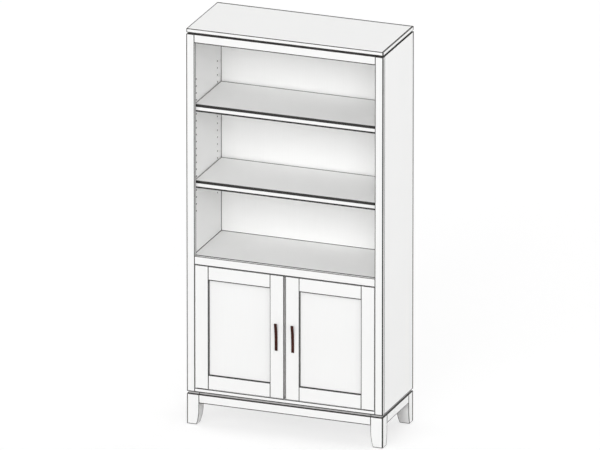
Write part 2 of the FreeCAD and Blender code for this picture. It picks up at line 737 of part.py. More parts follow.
def save_base():
    leg = front_left_leg()
    save_pair_of_legs("front", leg)
    save_pair_of_legs("back", to_back(leg))
    save("front_apron", front_apron())
    save("back_apron", to_back(front_apron()))
    save_pair("apron", left_apron())
    save("corner_blocks", four_corners(corner_block()))
    save("base_screws", base_screws())
    save("foot_glides", four_corners(foot_glide()))


def save_pair_of_legs(end, leg):
    save(end + "_left_leg", leg)
    save(end + "_right_leg", mirrored(leg))


def save_shelves():
    bays, cabinet = pin_hole_rows()
    for name, row in (("upper", UPPER_PIN_ROW), ("lower", LOWER_PIN_ROW)):
        bottom = shelf_bottom(row, bays)
        save(name + "_shelf_board", shelf_board(bottom, SHELF_FRONT + NOSING_DEPTH))
        save(name + "_shelf_nosing", nosing(bottom))
    cabinet_bottom = shelf_bottom(CABINET_PIN_ROW, cabinet)
    save("cabinet_shelf_board", shelf_board(cabinet_bottom, CABINET_SHELF_FRONT))
    rows = (bays[UPPER_PIN_ROW], bays[LOWER_PIN_ROW], cabinet[CABINET_PIN_ROW])
    save("shelf_pins", [pin for z in rows for pin in pins_of(z)])


def save_doors():
    save_pair("door_hinge_stile", hinge_stile())
    save("left_door_meeting_stile", meeting_stile(True))
    save("right_door_meeting_stile", mirrored(meeting_stile(False)))
    save_pair("door_top_rail", door_top_rail())
    save_pair("door_bottom_rail", door_bottom_rail())
    save_pair("door_panel", door_panel())
    save("meeting_strip", meeting_strip())
    save_pair("pull", pull())
    screws = pull_screws()
    save("left_pull_screws", screws)
    save("right_pull_screws", [mirrored(screw) for screw in screws])


def save_hardware():
    save("case_hinge_leaves", both_sides([TOP_HINGE[0], BOTTOM_HINGE[0]]))
    door_leaves = [TOP_HINGE[1], BOTTOM_HINGE[1]]
    save("left_door_leaves", door_leaves)
    save("right_door_leaves", [mirrored(leaf) for leaf in door_leaves])
    save_pair("strike_plate", strike_plate())
    save_pair("catch", catch())
    save("catch_magnets", both_sides([magnet()]))
    save("catch_block", catch_block())


os.makedirs("parts", exist_ok=True)
save_case()
save_base()
save_shelves()
save_doors()
save_hardware()
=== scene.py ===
import bpy
import math
from mathutils import Matrix, Vector


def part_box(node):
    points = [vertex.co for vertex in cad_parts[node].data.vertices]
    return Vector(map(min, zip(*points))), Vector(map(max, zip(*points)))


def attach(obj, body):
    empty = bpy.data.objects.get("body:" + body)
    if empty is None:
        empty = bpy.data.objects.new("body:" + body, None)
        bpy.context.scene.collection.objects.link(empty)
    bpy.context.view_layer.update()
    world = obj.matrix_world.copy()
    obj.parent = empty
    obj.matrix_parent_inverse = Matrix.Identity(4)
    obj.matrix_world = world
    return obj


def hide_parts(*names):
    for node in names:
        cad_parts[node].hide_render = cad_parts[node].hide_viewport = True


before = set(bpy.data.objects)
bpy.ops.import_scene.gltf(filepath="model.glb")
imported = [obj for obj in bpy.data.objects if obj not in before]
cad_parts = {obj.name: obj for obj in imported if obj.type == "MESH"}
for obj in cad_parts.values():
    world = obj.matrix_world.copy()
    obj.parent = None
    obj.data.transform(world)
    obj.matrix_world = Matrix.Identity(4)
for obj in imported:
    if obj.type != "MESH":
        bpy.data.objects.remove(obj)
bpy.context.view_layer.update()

# ---------------------------------------------------------------- camera
# It stands far off with a very long lens, so that edges that are parallel on the bookcase stay
# parallel. It looks at the middle of the case from the front right and a little above.
X, Y, Z = 0, 1, 2
case_low, case_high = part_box("top_board")
look_higher = 0.0015
middle = Vector((
    (case_low[X] + case_high[X]) / 2,
    (case_low[Y] + case_high[Y]) / 2,
    case_high[Z] / 2 + look_higher,
))
camera_azimuth = math.radians(20.693)
camera_elevation = math.radians(19.513)
lens = 1200.0
sensor = 36.0
view_width = 2.61662
towards_camera = Vector((
    math.sin(camera_azimuth) * math.cos(camera_elevation),
    -math.cos(camera_azimuth) * math.cos(camera_elevation),
    math.sin(camera_elevation),
))
camera_data = bpy.data.cameras.new("camera")
camera_data.lens = lens
camera_data.sensor_width = sensor
camera_data.clip_start = 1.0
camera_data.clip_end = 200.0
camera = bpy.data.objects.new("camera", camera_data)
camera.location = middle + towards_camera * (view_width * lens / sensor)
camera.rotation_mode = "QUATERNION"
camera.rotation_quaternion = towards_camera.to_track_quat("Z", "Y")
bpy.context.scene.collection.objects.link(camera)
bpy.context.scene.camera = camera
bpy.context.scene.view_settings.view_transform = "Standard"

# ---------------------------------------------------------------- floor
# A broad sheet of white studio paper. It takes the bookcase's soft shadow, and it is lifted to
# white for the eye and for reflections alone, so that it throws no more light on the wood.
bpy.ops.object.select_all(action="DESELECT")
bpy.ops.mesh.primitive_circle_add(vertices=96, radius=40.0, fill_type="NGON")
floor = bpy.context.object
floor.name = "floor"
floor_grey = 0.42
floor_lift = 0.63
floor_paper = bpy.data.materials.new("floor_paper")
floor_paper.use_nodes = True
nodes, links = floor_paper.node_tree.nodes, floor_paper.node_tree.links
nodes.clear()
ray = nodes.new("ShaderNodeLightPath")
seen = nodes.new("ShaderNodeMath")
seen.operation = "MAXIMUM"
links.new(ray.outputs["Is Camera Ray"], seen.inputs[0])
links.new(ray.outputs["Is Glossy Ray"], seen.inputs[1])
paper = nodes.new("ShaderNodeBsdfDiffuse")
paper.inputs["Color"].default_value = (floor_grey, floor_grey, floor_grey, 1)
glow = nodes.new("ShaderNodeEmission")
glow.inputs["Strength"].default_value = floor_lift
lifted = nodes.new("ShaderNodeAddShader")
links.new(paper.outputs[0], lifted.inputs[0])
links.new(glow.outputs[0], lifted.inputs[1])
choice = nodes.new("ShaderNodeMixShader")
links.new(seen.outputs[0], choice.inputs[0])
links.new(paper.outputs[0], choice.inputs[1])
links.new(lifted.outputs[0], choice.inputs[2])
sheet = nodes.new("ShaderNodeOutputMaterial")
links.new(choice.outputs[0], sheet.inputs["Surface"])
floor.data.materials.append(floor_paper)

# ---------------------------------------------------------------- air and lamps
# White air all round gives about half of the light, and five wide lamps the rest. The two in front
# are low enough to light the bays to the back.
ambient = 0.52
air = bpy.data.worlds.new("studio_air")
bpy.context.scene.world = air
air.use_nodes = True
nodes, links = air.node_tree.nodes, air.node_tree.links
nodes.clear()
ray = nodes.new("ShaderNodeLightPath")
mirrored = nodes.new("ShaderNodeMath")
mirrored.operation = "MAXIMUM"
links.new(ray.outputs["Is Camera Ray"], mirrored.inputs[0])
links.new(ray.outputs["Is Glossy Ray"], mirrored.inputs[1])
seen = nodes.new("ShaderNodeMath")
seen.operation = "MAXIMUM"
links.new(mirrored.outputs[0], seen.inputs[0])
links.new(ray.outputs["Is Transmission Ray"], seen.inputs[1])
soft = nodes.new("ShaderNodeBackground")
soft.inputs["Color"].default_value = (1, 1, 1, 1)
soft.inputs["Strength"].default_value = ambient
white = nodes.new("ShaderNodeBackground")
white.inputs["Color"].default_value = (1, 1, 1, 1)
choice = nodes.new("ShaderNodeMixShader")
links.new(seen.outputs[0], choice.inputs[0])
links.new(soft.outputs[0], choice.inputs[1])
links.new(white.outputs[0], choice.inputs[2])
sky = nodes.new("ShaderNodeOutputWorld")
links.new(choice.outputs[0], sky.inputs["Surface"])


def lamp(name, azimuth, elevation, strength, breadth):
    """A wide lamp far away; azimuth 0 stands in front of the bookcase and 90 on its right."""
    a, e = math.radians(azimuth), math.radians(elevation)
    towards_lamp = Vector((math.sin(a) * math.cos(e), -math.cos(a) * math.cos(e), math.sin(e)))
    data = bpy.data.lights.new(name, "SUN")
    data.energy = strength * math.pi
    data.angle = math.radians(breadth)
    made = bpy.data.objects.new(name, data)
    made.rotation_mode = "QUATERNION"
    made.rotation_quaternion = towards_lamp.to_track_quat("Z", "Y")
    bpy.context.scene.collection.objects.link(made)


lamp("main_lamp", -24, 24, 0.145, 40)
lamp("front_lamp", 14, 18, 0.47, 50)
lamp("right_lamp", 80, 11, 0.26, 40)
lamp("left_lamp", -100, 11, 0.34, 40)
lamp("back_lamp", 155, 11, 0.38, 40)

# ---------------------------------------------------------------- legs
# Four legs of solid maple, curved in towards the floor on their two inner faces. They are sanded
# and painted satin white, and a dark glaze is wiped into their eased edges and left beside them.
paint_light = (0.93, 0.93, 0.925)
paint_dark = (0.905, 0.905, 0.90)
# Dark glaze for the edges, also used as painted shade in corners, recesses and gaps.
glaze_and_shade_dark = (0.018, 0.017, 0.016)
glaze_worn = (0.075, 0.072, 0.068)
skin, thick_skin = 0.0003, 0.0005


def noise(material, scale, stretch=(1, 1, 1), detail=2.0):
    """A cloud texture on the piece's own metres, drawn out along an axis; returns its grey value."""
    nodes, links = material.node_tree.nodes, material.node_tree.links
    place = nodes.new("ShaderNodeTexCoord")
    mapping = nodes.new("ShaderNodeMapping")
    mapping.inputs["Scale"].default_value = stretch
    links.new(place.outputs["Object"], mapping.inputs["Vector"])
    cloud = nodes.new("ShaderNodeTexNoise")
    cloud.inputs["Scale"].default_value = scale
    cloud.inputs["Detail"].default_value = detail
    links.new(mapping.outputs["Vector"], cloud.inputs["Vector"])
    return cloud.outputs["Fac"]


def spread(material, value, low, high, start=0.3, end=0.7):
    """Takes a grey value from start..end to low..high."""
    nodes, links = material.node_tree.nodes, material.node_tree.links
    ranged = nodes.new("ShaderNodeMapRange")
    ranged.inputs["From Min"].default_value = start
    ranged.inputs["From Max"].default_value = end
    ranged.inputs["To Min"].default_value = low
    ranged.inputs["To Max"].default_value = high
    links.new(value, ranged.inputs["Value"])
    return ranged.outputs["Result"]


def two_colours(material, value, first, second):
    """A colour between two, by a grey value."""
    nodes, links = material.node_tree.nodes, material.node_tree.links
    mixed = nodes.new("ShaderNodeMix")
    mixed.data_type = "RGBA"
    links.new(value, mixed.inputs["Factor"])
    for socket, colour in (("A_Color", first), ("B_Color", second)):
        target = next(i for i in mixed.inputs if i.identifier == socket)
        if hasattr(colour, "links"):
            links.new(colour, target)
        else:
            target.default_value = (*colour, 1)
    return next(o for o in mixed.outputs if o.identifier == "Result_Color")


def relief(material, value, height, after=None):
    """Raises and sinks the surface by a grey value, height in metres; returns the normal."""
    nodes, links = material.node_tree.nodes, material.node_tree.links
    raised = nodes.new("ShaderNodeBump")
    raised.inputs["Distance"].default_value = height
    links.new(value, raised.inputs["Height"])
    if after:
        links.new(after, raised.inputs["Normal"])
    return raised.outputs["Normal"]


def along(axis, across):
    """Scales that draw a texture out along one axis."""
    return [1 if i == axis else across for i in range(3)]


def new_finish(name):
    """An empty finish; returns it with its shader and its links."""
    material = bpy.data.materials.new(name)
    material.use_nodes = True
    return material, material.node_tree.nodes["Principled BSDF"], material.node_tree.links


def white_paint(name, grain, light=paint_light, dark=paint_dark):
    """Satin white paint, brushed along the grain of the wood beneath, which shows through faintly."""
    material, shader, links = new_finish(name)
    strokes = noise(material, 5.0, along(grain, 60), 3)
    pores = noise(material, 9.0, along(grain, 130), 2)
    clouds = noise(material, 3.0)
    mixed = material.node_tree.nodes.new("ShaderNodeMath")
    mixed.operation = "ADD"
    links.new(spread(material, strokes, 0, 0.5), mixed.inputs[0])
    links.new(spread(material, clouds, 0, 0.5), mixed.inputs[1])
    links.new(two_colours(material, mixed.outputs[0], dark, light), shader.inputs["Base Color"])
    links.new(spread(material, strokes, 0.36, 0.48), shader.inputs["Roughness"])
    brushed = relief(material, pores, 0.00012, relief(material, strokes, 0.0002))
    links.new(brushed, shader.inputs["Normal"])
    shader.inputs["Specular IOR Level"].default_value = 0.3
    return material


def wiped_glaze(name):
    """Dark glaze that stays on an edge when the face beside it is wiped clean; thinner in places."""
    material, shader, links = new_finish(name)
    left_on = noise(material, 90.0, detail=3)
    links.new(two_colours(material, spread(material, left_on, 0, 1), glaze_and_shade_dark, glaze_worn),
              shader.inputs["Base Color"])
    links.new(spread(material, left_on, 0.45, 0.6), shader.inputs["Roughness"])
    links.new(relief(material, left_on, 0.0001), shader.inputs["Normal"])
    shader.inputs["Specular IOR Level"].default_value = 0.15
    return material


def worked_out(material, operation, *values):
    """One sum on grey values or numbers."""
    step = material.node_tree.nodes.new("ShaderNodeMath")
    step.operation = operation
    for socket, value in zip(step.inputs, values):
        if hasattr(value, "links"):
            material.node_tree.links.new(value, socket)
        else:
            socket.default_value = value
    return step.outputs[0]


def measured(material, axis):
    """Metres along an axis; from left to right they count from the middle, both ways alike."""
    nodes, links = material.node_tree.nodes, material.node_tree.links
    place = nodes.new("ShaderNodeTexCoord")
    split = nodes.new("ShaderNodeSeparateXYZ")
    links.new(place.outputs["Object"], split.inputs[0])
    if axis == X:
        return worked_out(material, "ABSOLUTE", split.outputs[X])
    return split.outputs[axis]


def off_middle(material, axis, middle):
    """Metres from a middle along an axis, both ways alike."""
    return worked_out(material, "ABSOLUTE",
                      worked_out(material, "SUBTRACT", measured(material, axis), middle))


def between(material, axis, low, high):
    """1 where the place along an axis lies between low and high, else 0."""
    return worked_out(material, "LESS_THAN", off_middle(material, axis, (low + high) / 2), (high - low) / 2)


def on_plane(material, axis, place, reach=skin):
    """1 on the faces that lie at one place along an axis."""
    return between(material, axis, place - reach, place + reach)


def both(material, first, second):
    """1 where two masks are both 1."""
    return worked_out(material, "MULTIPLY", first, second)


def corner_shade_line(material, first, second, line=0.0028):
    """1 in a fine line just inside a rectangle's edge, in the inside corner where boards meet; the line
    is where painted shade goes. Its two sides are each an axis, a low and a high."""
    past = [
        worked_out(material, "SUBTRACT", off_middle(material, axis, (low + high) / 2), (high - low) / 2)
        for axis, low, high in (first, second)
    ]
    nearest = worked_out(material, "MAXIMUM", *past)
    return both(material, spread(material, nearest, 0, 1, -line, -line * 0.5),
                worked_out(material, "LESS_THAN", nearest, line))


def lay_over(material, mask, colour):
    """Lays another colour over a finish where a mask is 1."""
    target = material.node_tree.nodes["Principled BSDF"].inputs["Base Color"]
    under = target.links[0].from_socket
    material.node_tree.links.new(two_colours(material, mask, under, colour), target)


def lay_dark_glaze_and_shade(material, *masks):
    """Paints the dark glaze colour where every mask is 1: glaze along edges, painted shade in corners,
    recesses and gaps.
    """
    where = masks[0]
    for mask in masks[1:]:
        where = both(material, where, mask)
    lay_over(material, where, glaze_and_shade_dark)


leg_low, leg_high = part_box("back_right_leg")
outer_face, back_face = leg_high[:2]
front_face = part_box("front_left_leg")[0][Y]


def glazed_corners(material):
    """Leaves glaze a little way round the upright outer corners of base and case."""
    beside_corner, at_side_front, at_side_back = 0.0045, 0.0065, 0.0120
    for face in (front_face, back_face):
        lay_dark_glaze_and_shade(material, on_plane(material, Y, face),
                   between(material, X, outer_face - beside_corner, outer_face))
    for low, high in ((front_face, front_face + at_side_front), (back_face - at_side_back, back_face)):
        lay_dark_glaze_and_shade(material, on_plane(material, X, outer_face), between(material, Y, low, high))


groove_height = 0.01016
shadow_line_high = leg_high[Z]
shadow_line_low = shadow_line_high - groove_height
# Grey painted into the groove under the case as its shade.
groove_shade_grey = (0.50, 0.495, 0.49)


def shadow_line_painted_shade(material):
    """Paints the groove between base and case grey as its shade, and its lower lip dark: an edge line
    outside, painted shade on the ledge inside.
    """
    lip, past = 0.0030, 0.0004
    lay_dark_glaze_and_shade(material, between(material, Z, shadow_line_low - lip, shadow_line_low + skin))
    groove = between(material, Z, shadow_line_low + past, shadow_line_high + past)
    lay_over(material, groove, groove_shade_grey)


def glazed_foot(material, height, reach=0.0042):
    """Leaves glaze a little way up the face from a lower edge."""
    lay_dark_glaze_and_shade(material, between(material, Z, height - skin, height + reach))


leg_paint = white_paint("leg_paint", Z)
glazed_corners(leg_paint)
# Painted shade in the groove at the top of the legs: grey, and dark on its ledge.
shadow_line_painted_shade(leg_paint)
curve_top, curve_depth = 0.0762, 0.01143
case_middle = (0, (front_face + back_face) / 2)


def from_inner_edge(axis):
    """Metres from a leg's inner face, which curves outwards below the curve's top."""
    below = worked_out(leg_paint, "SUBTRACT", curve_top, measured(leg_paint, Z))
    only_below = worked_out(leg_paint, "MAXIMUM", below, 0.0)
    down = worked_out(leg_paint, "DIVIDE", only_below, curve_top - leg_low[Z])
    squared = worked_out(leg_paint, "MULTIPLY", down, down)
    bow = worked_out(leg_paint, "MULTIPLY", squared, curve_depth)
    edge = worked_out(leg_paint, "ADD", bow, leg_low[axis] - case_middle[axis])
    past_edge = worked_out(leg_paint, "SUBTRACT", off_middle(leg_paint, axis, case_middle[axis]), edge)
    return worked_out(leg_paint, "ABSOLUTE", past_edge)


from_inner = [from_inner_edge(axis) for axis in (X, Y)]
curve_reach = 0.0008
line_at_front, line_at_side, line_at_floor = 0.0026, 0.0060, 0.0030
for axis, other, line in ((X, Y, line_at_front), (Y, X, line_at_side)):
    near_edge = worked_out(leg_paint, "LESS_THAN", from_inner[axis], line)
    from_outer = worked_out(leg_paint, "SUBTRACT", leg_high[other] - case_middle[other],
                            off_middle(leg_paint, other, case_middle[other]))
    on_outer = worked_out(leg_paint, "LESS_THAN", from_outer, skin)
    on_inner = worked_out(leg_paint, "LESS_THAN", from_inner[other], curve_reach)
    lay_dark_glaze_and_shade(leg_paint, worked_out(leg_paint, "MAXIMUM", on_outer, on_inner), near_edge)
glazed_foot(leg_paint, leg_low[Z], reach=line_at_floor)
upright_paint = white_paint("white_paint_upright", Z)
cross_paint = white_paint("white_paint_crosswise", X)
edge_glaze_and_reveal_shade = wiped_glaze("edge_glaze_and_reveal_shade")


def eased(node, finish, width=0.0020, edge=edge_glaze_and_reveal_shade):
    """A piece with its finish, and its edges rounded by sandpaper and finished in their own way."""
    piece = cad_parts[node]
    piece.data.materials.clear()
    piece.data.materials.append(finish)
    piece.data.materials.append(edge)
    joined = piece.modifiers.new("joined", "WELD")
    joined.merge_threshold = 1e-5
    flat = piece.modifiers.new("whole_faces", "DECIMATE")
    flat.decimate_type = "DISSOLVE"
    flat.angle_limit = math.radians(0.5)
    edges = piece.modifiers.new("eased_edges", "BEVEL")
    edges.width = width
    edges.segments = 2
    edges.limit_method = "ANGLE"
    edges.angle_limit = math.radians(35)
    edges.use_clamp_overlap = False
    edges.harden_normals = True
    edges.material = 1


for corner in ("front_left", "front_right", "back_left", "back_right"):
    eased(corner + "_leg", leg_paint, width=0.0013)

# ---------------------------------------------------------------- aprons
# Four maple aprons, tenoned into the legs and mitred inside them, all flush on the outside. A
# rebate runs round the top of legs and aprons and leaves the shadow line under the case.
apron_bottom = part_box("front_apron")[0][Z]
rail_paint = white_paint("rail_paint", X)
side_apron_paint = white_paint("side_apron_paint", Y)
# Painted shade in the groove at the top of the aprons: grey, and dark on its ledge.
for finish in (rail_paint, side_apron_paint):
    glazed_foot(finish, apron_bottom)
    shadow_line_painted_shade(finish)
for node in ("front_apron", "back_apron"):
    eased(node, rail_paint, width=0.0016)
for node in ("left_apron", "right_apron"):
    eased(node, side_apron_paint, width=0.0016)

# ---------------------------------------------------------------- corner blocks
# A triangle of planed pine glued into each corner of the base, with its grain across the corner.
# Nobody sees them, so they are left bare.
pine_light = (0.70, 0.53, 0.35)
pine_dark = (0.52, 0.35, 0.20)
pine_pore = (0.40, 0.27, 0.16)


def planed_pine(name):
    """Bare softwood, its grain across the corner: pale early wood, darker rings and fine pores."""
    material, shader, links = new_finish(name)
    nodes = material.node_tree.nodes
    place = nodes.new("ShaderNodeTexCoord")
    mirrored_place = nodes.new("ShaderNodeVectorMath")
    mirrored_place.operation = "ABSOLUTE"
    links.new(place.outputs["Object"], mirrored_place.inputs[0])
    turned = nodes.new("ShaderNodeMapping")
    turned.inputs["Rotation"].default_value = (0, 0, math.radians(45))
    links.new(mirrored_place.outputs["Vector"], turned.inputs["Vector"])
    drawn_out = nodes.new("ShaderNodeMapping")
    drawn_out.inputs["Scale"].default_value = (18, 1, 18)
    links.new(turned.outputs["Vector"], drawn_out.inputs["Vector"])
    rings = nodes.new("ShaderNodeTexWave")
    rings.bands_direction = "X"
    rings.inputs["Scale"].default_value = 1.6
    rings.inputs["Distortion"].default_value = 3.0
    rings.inputs["Detail"].default_value = 2.0
    links.new(drawn_out.outputs["Vector"], rings.inputs["Vector"])
    pores = nodes.new("ShaderNodeTexNoise")
    pores.inputs["Scale"].default_value = 60.0
    pores.inputs["Detail"].default_value = 3.0
    links.new(drawn_out.outputs["Vector"], pores.inputs["Vector"])
    ring_colour = two_colours(material, spread(material, rings.outputs["Fac"], 0, 1, 0.2, 0.95),
                              pine_light, pine_dark)
    with_pores = two_colours(material, spread(material, pores.outputs["Fac"], 0, 0.35),
                             ring_colour, pine_pore)
    links.new(with_pores, shader.inputs["Base Color"])
    links.new(spread(material, pores.outputs["Fac"], 0.6, 0.8), shader.inputs["Roughness"])
    links.new(relief(material, pores.outputs["Fac"], 0.0002), shader.inputs["Normal"])
    shader.inputs["Specular IOR Level"].default_value = 0.3
    return material


bare_pine = planed_pine("planed_pine")
eased("corner_blocks", bare_pine, width=0.0008, edge=bare_pine)

# ---------------------------------------------------------------- corner block screws
# Two zinc-plated steel screws in each corner block, driven up into the bottom of the case: oval
# countersunk heads with a cross recess.
zinc_light = (0.66, 0.67, 0.69)
zinc_dark = (0.50, 0.51, 0.53)


def metal(name, light, dark, smooth, dull):
    """A metal finish that varies a little in tone and gloss, with a fine tooth."""
    material, shader, links = new_finish(name)
    tone = noise(material, 45.0, detail=3)
    tooth = noise(material, 400.0, detail=2)
    shader.inputs["Metallic"].default_value = 1.0
    colour = two_colours(material, spread(material, tone, 0, 1), dark, light)
    links.new(colour, shader.inputs["Base Color"])
    links.new(spread(material, tone, smooth, dull), shader.inputs["Roughness"])
    links.new(relief(material, tooth, 0.00002), shader.inputs["Normal"])
    return material


zinc = metal("zinc_plate", zinc_light, zinc_dark, smooth=0.26, dull=0.40)
recess_light, recess_dark = (0.10, 0.10, 0.105), (0.04, 0.04, 0.042)
recess_shade = metal("recess_shade", recess_light, recess_dark, smooth=0.5, dull=0.7)


def pick(piece, wanted):
    """Goes into edit mode with those faces selected whose middle and normal pass a test."""
    bpy.ops.object.mode_set(mode="EDIT")
    bpy.ops.mesh.select_mode(type="FACE")
    bpy.ops.mesh.select_all(action="DESELECT")
    bpy.ops.object.mode_set(mode="OBJECT")
    for face in piece.data.polygons:
        face.select = wanted(face.center, face.normal)
    bpy.ops.object.mode_set(mode="EDIT")


def only(piece):
    """Makes a piece the one that is selected and active."""
    bpy.ops.object.select_all(action="DESELECT")
    piece.select_set(True)
    bpy.context.view_layer.objects.active = piece


def driver_tip(reach, depth):
    """A tapered cross, as the tip of a screwdriver, that reaches down to a depth below z = 0."""
    bar = reach * 0.42
    spare = 0.001
    bpy.ops.object.select_all(action="DESELECT")
    bpy.ops.mesh.primitive_cube_add(size=1, location=(0, 0, (spare - depth) / 2),
                                    scale=(bar, bar, spare + depth))
    tip = bpy.context.object
    bpy.ops.object.transform_apply(location=True, rotation=True, scale=True)
    pick(tip, lambda middle, normal: abs(normal.z) < 0.5)
    bpy.ops.mesh.extrude_faces_move(TRANSFORM_OT_shrink_fatten={"value": reach - bar / 2})
    pick(tip, lambda middle, normal: normal.z < -0.9)
    bpy.ops.transform.resize(value=(0.7, 0.7, 1), center_override=(0, 0, -depth))
    bpy.ops.object.mode_set(mode="OBJECT")
    return tip


def screw(length, shank, head, cone, rim, crown, finish):
    """A screw that points down, its crown at the origin. Its head widens over a cone, none for a
    pan head, then has an upright rim and a low crown with a cross recess."""
    point = 2 * shank
    body = length - point - cone - rim - crown
    bpy.ops.object.select_all(action="DESELECT")
    bpy.ops.mesh.primitive_cylinder_add(vertices=24, radius=shank, depth=body,
                                        location=(0, 0, -(crown + rim + cone) - body / 2))
    made = bpy.context.object
    bpy.ops.object.transform_apply(location=True, rotation=True, scale=True)
    pick(made, lambda middle, normal: normal.z < -0.9)
    bpy.ops.mesh.extrude_region_move(TRANSFORM_OT_translate={"value": (0, 0, -point)})
    bpy.ops.transform.resize(value=(0.1, 0.1, 1))
    pick(made, lambda middle, normal: normal.z > 0.9)
    bpy.ops.mesh.extrude_region_move(TRANSFORM_OT_translate={"value": (0, 0, cone)})
    bpy.ops.transform.resize(value=(head / shank, head / shank, 1))
    bpy.ops.mesh.extrude_region_move(TRANSFORM_OT_translate={"value": (0, 0, rim)})
    bpy.ops.mesh.inset(thickness=head * 0.12, depth=crown * 0.55)
    bpy.ops.mesh.inset(thickness=head * 0.18, depth=crown * 0.30)
    bpy.ops.mesh.inset(thickness=head * 0.20, depth=crown * 0.15)
    bpy.ops.object.mode_set(mode="OBJECT")
    floor_of_recess = crown * 0.8
    tip = driver_tip(head * 0.52, floor_of_recess)
    only(made)
    recess = made.modifiers.new("recess", "BOOLEAN")
    recess.operation = "DIFFERENCE"
    recess.solver = "EXACT"
    recess.object = tip
    bpy.ops.object.modifier_apply(modifier="recess")
    bpy.data.objects.remove(tip)
    made.data.materials.clear()
    made.data.materials.append(finish)
    made.data.materials.append(recess_shade)
    for face in made.data.polygons:
        deep = abs(face.center.z + floor_of_recess) < 1e-5 and face.normal.z > 0.9
        face.material_index = 1 if deep else 0
    bpy.ops.object.shade_smooth_by_angle(angle=math.radians(35))
    return made


def set_out(model, name, places, body):
    """Copies of a model, joined as one piece that rides on a body. A place says where the model's
    origin goes, which way its top faces and how far it is turned."""
    copies = []
    for spot, facing, turn in places:
        copy = model.copy()
        copy.data = model.data.copy()
        upright = Vector(facing).to_track_quat("Z", "Y").to_matrix().to_4x4()
        copy.matrix_world = Matrix.Translation(spot) @ upright @ Matrix.Rotation(turn, 4, "Z")
        bpy.context.scene.collection.objects.link(copy)
        copies.append(copy)
    piece = copies[0]
    only(piece)
    for copy in copies[1:]:
        copy.select_set(True)
        bpy.ops.object.join()
    bpy.ops.object.transform_apply(location=True, rotation=True, scale=True)
    piece.name = name
    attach(piece, body)
    return piece


turn_step = math.radians(37)
left_edge, front_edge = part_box("front_left_leg")[0][:2]
right_edge, back_edge = leg_high[:2]
block_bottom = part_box("corner_blocks")[0][Z]
near_apron, far_along = 0.03305, 0.07915
proud = 0.0005
places = []
for edge_x, inward_x in ((left_edge, 1), (right_edge, -1)):
    for edge_y, inward_y in ((front_edge, 1), (back_edge, -1)):
        for from_x, from_y in ((near_apron, far_along), (far_along, near_apron)):
            spot = (edge_x + inward_x * from_x, edge_y + inward_y * from_y, block_bottom - proud)
            places.append((spot, (0, 0, -1), len(places) * turn_step))
block_screw = screw(length=0.0506, shank=0.0024, head=0.0048, cone=0.0022, rim=0.0003, crown=proud,
                    finish=zinc)
base_screws = set_out(block_screw, "corner_block_screws", places, "case")
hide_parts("base_screws")
bpy.data.objects.remove(block_screw)

# ---------------------------------------------------------------- glides
# A round glide of moulded nylon under each leg, with a rounded rim, pressed into a drilled hole by
# its stem so that the painted leg stays clear of the floor.
nylon_light = (0.78, 0.76, 0.72)
nylon_dark = (0.66, 0.64, 0.60)


def moulded(name, light, dark, smooth, dull):
    """Moulded plastic: an even tone with a fine matt grain."""
    material, shader, links = new_finish(name)
    tone = noise(material, 60.0, detail=3)
    grain = noise(material, 1800.0, detail=2)
    colour = two_colours(material, spread(material, tone, 0, 1), dark, light)
    links.new(colour, shader.inputs["Base Color"])
    links.new(spread(material, grain, smooth, dull), shader.inputs["Roughness"])
    links.new(relief(material, grain, 0.00003), shader.inputs["Normal"])
    return material


nylon = moulded("nylon", nylon_light, nylon_dark, smooth=0.42, dull=0.58)
glide_radius, glide_height, stem_radius, stem_length = 0.012, 0.0025, 0.003, 0.012
rim_round, stem_round = 0.0009, 0.0005
ring_inset, ring_slope, ring_rise = 0.0035, 0.0006, 0.0004
bpy.ops.object.select_all(action="DESELECT")
bpy.ops.mesh.primitive_cylinder_add(vertices=48, radius=glide_radius, depth=glide_height,
                                    location=(0, 0, glide_height / 2))
glide = bpy.context.object
bpy.ops.object.transform_apply(location=True, rotation=True, scale=True)
pick(glide, lambda middle, normal: normal.z < -0.9)
bpy.ops.mesh.bevel(offset=rim_round, segments=4, affect="EDGES")
pick(glide, lambda middle, normal: normal.z < -0.999)
bpy.ops.mesh.inset(thickness=ring_inset, depth=0)
bpy.ops.mesh.inset(thickness=ring_slope, depth=-ring_rise)
pick(glide, lambda middle, normal: normal.z > 0.9)
bpy.ops.mesh.inset(thickness=glide_radius - stem_radius)
bpy.ops.mesh.extrude_region_move(TRANSFORM_OT_translate={"value": (0, 0, stem_length)})
bpy.ops.mesh.bevel(offset=stem_round, segments=2, affect="EDGES")
bpy.ops.object.mode_set(mode="OBJECT")
glide.data.materials.append(nylon)
bpy.ops.object.shade_smooth_by_angle(angle=math.radians(35))
leg_middle = 0.02286
places = [
    ((x, y, 0), (0, 0, 1), 0)
    for x in (left_edge + leg_middle, right_edge - leg_middle)
    for y in (front_edge + leg_middle, back_edge - leg_middle)
]
glides = set_out(glide, "round_glides", places, "case")
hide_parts("foot_glides")
bpy.data.objects.remove(glide)

# ---------------------------------------------------------------- side panels
# Two one-inch panels, housed for the fixed boards and drilled with a front and a back column of
# quarter-inch holes. The paint doesn't reach into the holes. A dark line is painted into the corners
# inside the case as their shade, and glaze has settled in the seam between panel and stile.
hole_brown = (0.16, 0.12, 0.085)
hole_depth = 0.010
clear_of_holes = 0.02
seam = 0.0030
inner_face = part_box("right_side_panel")[0][X]
frame_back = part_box("left_side_panel")[0][Y]
back_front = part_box("back_panel")[0][Y]
bay_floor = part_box("fixed_shelf")[1][Z]
bay_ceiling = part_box("case_top_panel")[0][Z]
cabinet_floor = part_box("bottom_panel")[1][Z]
cabinet_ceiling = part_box("fixed_shelf")[0][Z]
rooms = ((bay_floor, bay_ceiling), (cabinet_floor, cabinet_ceiling))
side_paint = white_paint("side_panel_paint", Z)
glazed_corners(side_paint)
